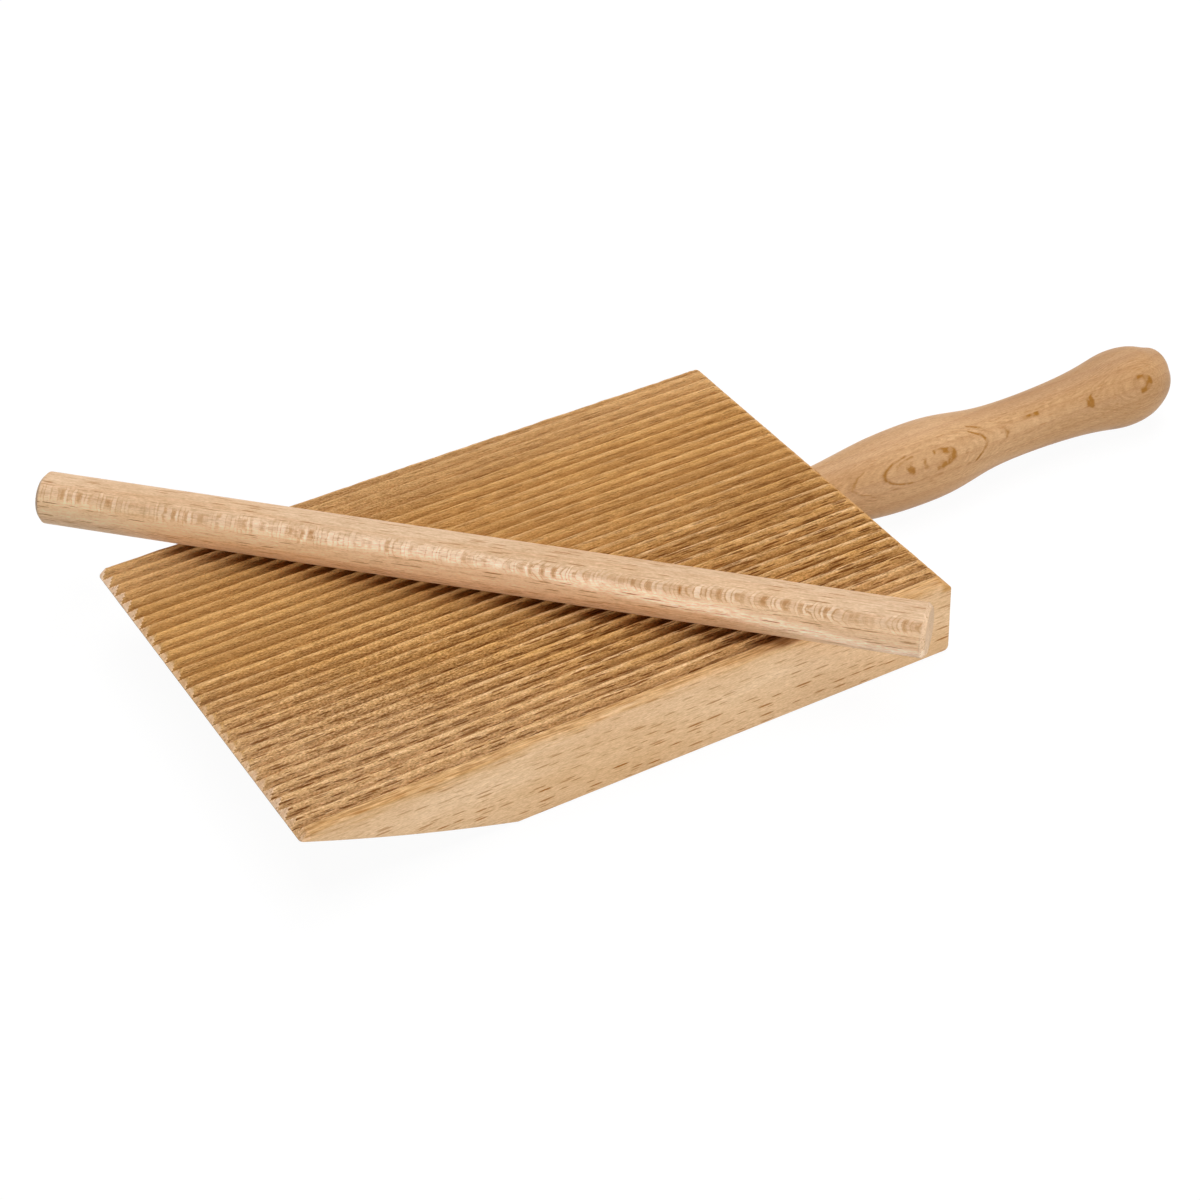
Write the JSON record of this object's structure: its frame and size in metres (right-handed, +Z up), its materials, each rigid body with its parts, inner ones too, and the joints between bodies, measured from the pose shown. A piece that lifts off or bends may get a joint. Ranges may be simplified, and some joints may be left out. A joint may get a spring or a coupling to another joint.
{
  "type": "gnocchi board",
  "caption": "Wooden gnocchi board with a ridged top, a thinned front edge, a turned handle and a loose dowel roller lying across the ridges.",
  "frame": {"origin": "middle of the board's underside, on the plane that it rests on", "axes": "+X along the ridges towards the handle, +Y across the board to the side that is far in the picture, +Z up"},
  "size_m": [0.3024, 0.1766, 0.0352],
  "materials": {
    "board_wood": "planed beech, unvarnished, grooves cut along the grain",
    "handle_wood": "turned and sanded beech, unvarnished",
    "roller_wood": "sanded beech dowel, unvarnished"
  },
  "bodies": {
    "board": {"board": "board_wood", "handle": "handle_wood"},
    "roller": {"roller": "roller_wood"}
  },
  "joints": [
    {"name": "roller_lift", "type": "slide", "parent": "board", "child": "roller", "axis": [0, 0, 1], "range_m": [0, 0.06]}
  ]
}
